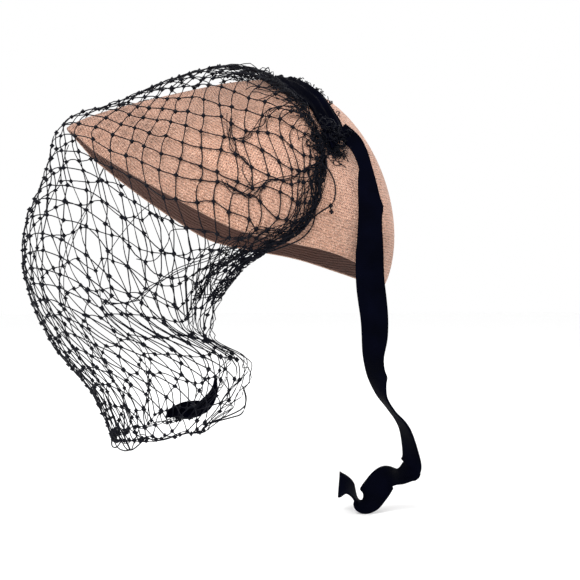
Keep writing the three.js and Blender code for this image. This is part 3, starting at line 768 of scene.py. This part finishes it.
def build_tie(material):
    """The ribbon hanging from the band's left end, with its twists, kinks and slanted cut."""
    per_place, columns, cup = 14, 10, 0.05
    middle = columns // 2
    outward = np.array([0.0, -1.0, 0.0])
    folds = table_columns(TIE_FOLDS, TIE_COLUMNS)
    start = from_hat(on_crown(*band_plan(-TIE_START, 0.0), TIE_LIFT))
    at = start + np.stack(
        [folds["back"] * TIE_SWING, -folds["out"] * TIE_STANDOFF, -folds["down"] * TIE_DROP], -1
    )
    width = folds["wide"] * RIBBON_WIDTH
    grid = ribbon_grid(at, folds["turn"], width, outward, per_place, columns, cup)
    side = grid[:, -1] - grid[:, 0]
    side /= np.linalg.norm(side, axis=-1, keepdims=True)
    place = np.arange(len(grid)) / per_place
    edge = np.clip(-np.linspace(-1, 1, grid.shape[1]), 0, 1) ** 2
    for at_place, reach, out in TIE_KINKS:
        bump = out * np.exp(-(((place - at_place) / reach) ** 2))
        grid = grid - side[:, None] * bump[:, None, None] * edge[None, :, None]
    run = np.gradient(grid[:, middle], axis=0)
    run /= np.linalg.norm(run, axis=-1, keepdims=True)
    last = np.clip((place - place[-1] + TIE_CUT_PLACES) / TIE_CUT_PLACES, 0, 1)
    slant = TIE_CUT_SLANT * last[:, None] * np.linspace(-0.5, 0.5, grid.shape[1])
    grid = grid + run[:, None] * slant[..., None]
    grid = from_hat(clear_of_crown(to_hat(grid), TIE_LIFT))
    tie = thick_sheet("tie_velvet", grid, RIBBON_THICKNESS, material)
    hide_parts("ribbon_tie")
    return tie


def build_bow(material):
    """Two pointed lobes of velvet, one lying along the hem and one standing up over its end."""
    per_place, columns, cup, samples, furthest_around = 12, 12, 0.22, 60, 0.985
    lift = (VEIL_THICKNESS + BOW_THICKNESS) / 2 + SEAT_GAP
    lobes = []
    for name, lobe in BOW_LOBES.items():
        row = table_columns(lobe, BOW_COLUMNS)
        normal = veil_normal(np.minimum(row["around"], furthest_around), row["down"])
        stand = (lift + row["out"] * BOW_THICKNESS)[:, None]
        at = veil_point(row["around"], row["down"]) + normal * stand
        facing = normal[len(lobe) // 2]
        grid = ribbon_grid(at, row["turn"], row["wide"] * BOW_WIDTH, facing, per_place, columns, cup)
        lobes.append(thick_sheet("bow_" + name, grid, BOW_CLOTH, material))
    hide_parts("veil_bow")
    return lobes


def smooth_noise(rng, count, across, size, bumps):
    """Wandering values along many runs: count runs of across places, each about size large."""
    knots = rng.normal(0, size, (count, bumps + 1))
    place = np.linspace(0, bumps, across)
    return np.stack([smooth_column(row, place) for row in knots])


def drawn_lengthwise(flat):
    """Closes the net's diamonds across, and leans them, where it is drawn over the crown."""
    x, y = flat[..., 0], flat[..., 1]
    half, furthest = NET_BREADTH / 2, 1.6
    out = np.clip((x - half) / half, -furthest, furthest)
    narrow = DRAWN_WIDTH_MIDDLE * out + (DRAWN_WIDTH_SIDES - DRAWN_WIDTH_MIDDLE) * out**3 / 3
    fade = np.clip((y - DRAWN_ABOVE) / (DRAWN_BELOW - DRAWN_ABOVE), 0, 1)
    closed = half + mix(half * narrow, x - half, fade * fade * (3 - 2 * fade))
    reach = [np.log1p(np.exp((end - y) / LEAN_FADE)) for end in (LEANS_TO, LEANS_FROM)]
    lean = DRAWN_LEAN * LEAN_FADE * (reach[0] - reach[1])
    side = np.cos(math.pi * np.clip(closed / NET_BREADTH, 0, 1))
    return np.stack([closed - side * lean, y], -1)


def net_length(x):
    """The flat net's length at a breadth: its lower corners are cut round."""
    return mix(NET_LENGTH_SIDE, NET_LENGTH_FRONT, np.sin(math.pi * np.clip(x / NET_BREADTH, 0, 1)))


def net_spot(around, down):
    """A place on the veil, in millimetres of flat net."""
    x = NET_BREADTH * np.asarray(around, float)
    return np.stack([x, net_length(x) * down], -1)


def turned_to_hem(spots):
    """Turns the flat net about the place where its threads run along the hem."""
    middle = net_spot(*HEM_PLACE)
    arm = spots - middle
    far = np.maximum(np.linalg.norm(arm, axis=-1), 1e-6)
    fade = np.log(far / HEM_TURN_NEAR) / math.log(HEM_TURN_FAR / HEM_TURN_NEAR)
    hold = 1 - np.clip(fade, 0, 1)
    c, s = np.cos(HEM_TURN * hold), np.sin(HEM_TURN * hold)
    x, y = arm[..., 0] * c - arm[..., 1] * s, arm[..., 0] * s + arm[..., 1] * c
    return middle + np.stack([x + HEM_LEAN * hold * y, y], -1)


def drawn_in(spots):
    """Draws the net towards its creases."""
    for width, strength, _, run in CREASES:
        run = net_spot(*np.array(run).T)
        best = np.full(spots.shape[:-1], 1e9)
        nearest = np.zeros(spots.shape)
        for start, end in zip(run[:-1], run[1:]):
            leg = end - start
            share = np.clip(((spots - start) @ leg) / (leg @ leg), 0, 1)
            foot = start + share[..., None] * leg
            gap = np.linalg.norm(spots - foot, axis=-1)
            closer = gap < best
            best = np.where(closer, gap, best)
            nearest = np.where(closer[..., None], foot, nearest)
        pull = CREASE_PULL * strength * np.exp(-((best / width) ** 2))
        spots = spots + (nearest - spots) * pull[..., None]
    return spots


def gathered(value, start, reach):
    """Values past the start are squeezed ever closer before the edge, which lies one reach on."""
    return np.where(value > start, start + reach * (1 - np.exp(-(value - start) / reach)), value)


def net_place(flat):
    """Places on the flat net become shares around and down the veil."""
    spots = turned_to_hem(drawn_lengthwise(flat))
    x, y = spots[..., 0], spots[..., 1]
    sway = SWAY_LONG * np.sin(x / 23.0 + y / 31.0) + SWAY_SHORT * np.sin(y / 17.0 - x / 37.0 + 1.0)
    spots = drawn_in(np.stack([x + sway, y + SWAY_DOWN * sway], -1))
    x, y = spots[..., 0], spots[..., 1]
    x = NET_BREADTH - gathered(NET_BREADTH - x, NET_BREADTH - EDGE_SQUEEZED, EDGE_REACH)
    x = gathered(x, NET_BREADTH - EDGE_SQUEEZED, EDGE_REACH)
    down = gathered(y / net_length(x), HEM_SQUEEZED, HEM_REACH)
    return np.clip(x / NET_BREADTH, 0, 1), np.clip(down, 0, 1)


def net_kept(flat):
    """Which places of the flat net are on the veil, with what is gathered into its edges."""
    spots = turned_to_hem(drawn_lengthwise(flat))
    x, y = spots[..., 0], spots[..., 1]
    down = y / net_length(x)
    spare = mix(GATHERED_HIGH, GATHERED_LOW, np.clip((down - LESS_FROM) / LESS_OVER, 0, 1))
    return (x > -spare) & (x < NET_BREADTH + spare) & (y > 0) & (down < 1 + GATHERED_HEM)


def net_strands(rng):
    """Threads of the net from knot to knot, and the knots."""
    threads, knot_shift, slack_size = 46, 0.9, 0.45
    u, v = np.meshgrid(np.arange(-threads, threads), np.arange(-threads, threads), indexing="ij")
    side = THREAD_SPACING / math.sqrt(2)
    flat = np.stack([(u - v) * side + NET_BREADTH / 2, (u + v) * side + NET_LENGTH_FRONT / 2], -1)
    flat = flat + rng.normal(0, knot_shift, flat.shape)
    kept = net_kept(flat)
    pairs = []
    for a, b in ((flat[:-1], flat[1:]), (flat[:, :-1], flat[:, 1:])):
        both = net_kept(a) & net_kept(b)
        pairs.append((a[both], b[both]))
    starts = np.concatenate([a for a, b in pairs])
    ends = np.concatenate([b for a, b in pairs])
    share = np.array([0, 0.1, 0.36, 0.64, 0.9, 1])[None, :, None]
    around, down = net_place(mix(starts[:, None], ends[:, None], share))
    paths = veil_point(around, down)
    slack = rng.normal(0, slack_size, (len(paths), 1, 3)) * np.sin(np.pi * share)
    paths = from_hat(clear_of_crown(to_hat(paths + slack), THREAD_RADIUS + THREAD_CLEAR))
    thick = np.array([THREAD_AT_KNOT, THREAD_BY_KNOT, THREAD_RADIUS])[[0, 1, 2, 2, 1, 0]]
    knots = veil_point(*net_place(flat[kept]))
    return paths, thick, knots


def knot_lumps(knots, rng):
    """Small uneven lumps where threads are tied."""
    axes = np.array([[1, 0, 0], [-1, 0, 0], [0, 1, 0], [0, -1, 0], [0, 0, 1], [0, 0, -1]], float)
    size = KNOT_RADIUS * rng.uniform(0.75, 1.25, (len(knots), len(axes), 1))
    points = (knots[:, None] + axes[None] * size).reshape(-1, 3)
    upper = [[0, 2, 4], [2, 1, 4], [1, 3, 4], [3, 0, 4]]
    lower = [[2, 0, 5], [1, 2, 5], [3, 1, 5], [0, 3, 5]]
    first = (np.arange(len(knots)) * len(axes))[:, None, None]
    faces = (np.array(upper + lower)[None] + first).reshape(-1, 3)
    return points, list(faces)


def bunched(rng, run, strands, wander, places):
    """Strands that wander side by side along a run on the veil, given in shares around and down."""
    fewest_bumps, points_per_bump, outward = 4, 6, 0.4
    line = smooth_line(np.array(run), np.linspace(0, len(run) - 1, places))
    bumps = max(fewest_bumps, places // points_per_bump)
    off = [smooth_noise(rng, strands, places, wander, bumps) for _ in range(3)]
    around = 1 - np.abs(1 - np.abs(line[None, :, 0] + off[0] / NET_BREADTH))
    down = 1 - np.abs(1 - np.abs(line[None, :, 1] + off[1] / NET_LENGTH_FRONT))
    paths = veil_point(around, down)
    paths[..., 1] -= np.abs(off[2]) * np.sign(0.5 - around) * outward
    return from_hat(clear_of_crown(to_hat(paths), THREAD_RADIUS + LOOSE_CLEAR))


def edge_strands(rng):
    """What is gathered into the two side edges and the hem, and bunched along the creases."""
    bundles = [bunched(rng, run, *numbers) for *numbers, run in EDGE_BUNDLES]
    for _, _, strands, run in CREASES:
        bundles.append(bunched(rng, run, strands, CREASE_WANDER, CREASE_POINTS))
    return bundles


def curls(rng, centres, size, sweep):
    """Kinked arcs of loose thread about places in the hat's own frame."""
    places, kink, sharpest = 10, 0.13, 0.3
    count = len(centres)
    first = rng.normal(0, 1, (count, 3))
    first /= np.linalg.norm(first, axis=-1, keepdims=True)
    second = np.cross(first, rng.normal(0, 1, (count, 3)))
    second /= np.linalg.norm(second, axis=-1, keepdims=True)
    begin = rng.uniform(0, 2 * math.pi, (count, 1))
    angle = begin + np.linspace(0, 1, places) * rng.uniform(*sweep, (count, 1))
    arcs = first[:, None] * np.cos(angle)[..., None] + second[:, None] * np.sin(angle)[..., None]
    kinks = np.clip(rng.normal(0, kink, arcs.shape), -sharpest, sharpest)
    paths = centres[:, None] + (arcs + kinks) * rng.uniform(*size, (count, 1, 1))
    return from_hat(clear_of_crown(paths, THREAD_RADIUS + LOOSE_CLEAR))


def frizz(rng):
    """Loose net in small curls: along both edges of the band, and thick where its left end is tied."""
    count, share_in_front = 230, 0.6
    across = rng.uniform(-1.0, 0.9, count)
    in_front = rng.random(count) < share_in_front
    front, rear = rng.uniform(0.42, 0.8, count), rng.uniform(-0.62, -0.46, count)
    over = np.where(in_front, front, rear)
    edges = on_crown(*band_plan(across * BAND_END_OUT, over * BAND_WIDTH), BAND_LIFT + 0.2)
    end = on_crown(*band_plan(-BAND_END_OUT * 0.99, 1.5), BAND_LIFT)
    tangle, tangle_limit, tangle_back = np.array([7.5, 2.6, 7.5]), 1.7, np.array([4.5, 0, 4.5])
    spread = np.clip(rng.normal(0, 1, (count, 3)), -tangle_limit, tangle_limit)
    tied = end + spread * tangle - tangle_back
    return [curls(rng, edges, (0.9, 2.6), (1.2, 4.5)), curls(rng, tied, (1.4, 4.2), (1.5, 5.5))]


def gathers(rng):
    """Loops of net caught under the band's front edge."""
    count, places, bumps = 190, 14, 5
    sway_size, rise_size, fanned, outward_share = 3.4, 2.2, 1.8, 0.4
    around = rng.uniform(0.02, 0.98, (count, 1))
    reach = rng.uniform(0.03, 0.15, (count, 1)) * mix(1.0, 0.6, np.abs(2 * around - 1))
    share = np.linspace(0, 1, places)[None, :]
    sway = smooth_noise(rng, count, places, sway_size, bumps) / NET_BREADTH
    paths = veil_point(around + sway * share * fanned, reach * share)
    height = np.abs(smooth_noise(rng, count, places, rise_size, bumps))
    rise = height[..., None] * np.sin(math.pi * share)[..., None]
    outward = rise * np.array([0, outward_share, 0]) * np.sign(0.5 - around)[..., None]
    paths = paths + rise * np.array([0.2, 0.0, 1.0]) - outward
    return from_hat(clear_of_crown(to_hat(paths), THREAD_RADIUS + LOOSE_CLEAR))


def hanging_loops():
    """Threads that hang free of the net at its lower corners and hem."""
    paths, points = [], 14
    for loop in HANGING_LOOPS:
        row = np.array(loop, float)
        spots = veil_point(row[:, 0], row[:, 1]) + row[:, 2:]
        paths.append(smooth_line(spots, np.linspace(0, len(row) - 1, points)))
    return from_hat(clear_of_crown(to_hat(np.stack(paths)), THREAD_RADIUS + LOOSE_CLEAR))


def build_stitches(material):
    """Two small knots of dark thread on the crown's left side, where it was once tacked."""
    rng = np.random.default_rng(SEED + 1)
    knot_lift, thread_lift, unevenness = 0.7, 0.4, 0.12
    turns, rises = STITCHES
    knots = from_hat(crown_point(np.array(turns), np.array(rises), -knot_lift))
    around = np.linspace(turns[0] - 0.6, turns[1] + 0.4, 9)
    up = np.linspace(rises[0] + 0.012, rises[1] - 0.006, 9)
    run = from_hat(crown_point(around, up, -thread_lift))
    thread = tubes((run + rng.normal(0, unevenness, run.shape))[None], LOOSE_RADIUS)
    points, faces = joined([knot_lumps(knots, rng), thread])
    return mesh_piece("stitch_knots", points, faces, material)


def build_veil(material):
    """The whole net as one piece: threads, knots, gathered edges, creases and loose ends."""
    rng = np.random.default_rng(SEED)
    paths, thick, knots = net_strands(rng)
    parts = [tubes(paths, thick), knot_lumps(knots, rng)]
    for bundle in edge_strands(rng) + frizz(rng) + [gathers(rng)]:
        parts.append(tubes(bundle, LOOSE_RADIUS))
    parts.append(tubes(hanging_loops(), LOOP_RADIUS))
    points, faces = joined(parts)
    veil = mesh_piece("veil_net", points, faces, material)
    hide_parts("veil")
    return veil


def build_camera():
    """The photograph's view: from the wearer's left, a little to the front, just below the hat."""
    distance, azimuth = 750.0, math.radians(10)
    shift_right, shift_up = 46.5, -50.7
    focal_pixels, picture_pixels, sensor = 1065.0, 580.0, 36.0
    forward = np.array([math.sin(azimuth), math.cos(azimuth), 0.0])
    right = np.array([math.cos(azimuth), -math.sin(azimuth), 0.0])
    place = -distance * forward + shift_right * right + np.array([0, 0, shift_up])
    camera = bpy.data.objects.new("camera", bpy.data.cameras.new("camera"))
    camera.data.sensor_width = sensor
    camera.data.lens = sensor * focal_pixels / picture_pixels
    camera.data.clip_start = 0.01
    camera.location = place * MM
    camera.rotation_euler = (math.radians(90), 0, -azimuth)
    bpy.context.scene.collection.objects.link(camera)
    bpy.context.scene.camera = camera


def area_light(name, place, target, size, power):
    light = bpy.data.objects.new(name, bpy.data.lights.new(name, "AREA"))
    light.data.size = size
    light.data.energy = power
    light.location = place
    light.rotation_euler = (Vector(target) - light.location).to_track_quat("-Z", "Y").to_euler()
    bpy.context.scene.collection.objects.link(light)


def build_stage(floor_height):
    """A white floor and surroundings, with a key light and a back light. Its lengths are metres."""
    floor_mesh = bpy.data.meshes.new("floor")
    half = 6.0
    signs = ((-1, -1), (1, -1), (1, 1), (-1, 1))
    floor_mesh.from_pydata([(half * x, half * y, floor_height) for x, y in signs], [], [(0, 1, 2, 3)])
    floor_mesh.materials.append(stage_material("floor_pale", (0.985, 0.985, 0.985, 1), 0.9))
    floor = bpy.data.objects.new("floor", floor_mesh)
    bpy.context.scene.collection.objects.link(floor)
    world = bpy.data.worlds.new("world")
    world.use_nodes = True
    background = world.node_tree.nodes["Background"]
    background.inputs["Color"].default_value = (1.0, 1.0, 1.0, 1)
    background.inputs["Strength"].default_value = 1.0
    bpy.context.scene.world = world
    bpy.context.scene.view_settings.view_transform = "Standard"
    area_light("key", (-0.55, -1.0, 1.0), (0, 0, 0.02), 0.7, 17)
    area_light("back", (0.9, 0.9, 0.9), (0, 0, 0), 1.2, 9)


build_camera()
straw, velvet, net = straw_material(), velvet_material(), net_material()
build_crown(straw)
build_band(velvet)
tie = build_tie(velvet)
build_stitches(net)
build_veil(net)
build_bow(velvet)
lowest = min(vertex.co.z for vertex in tie.data.vertices)
build_stage(lowest - FLOOR_GAP)
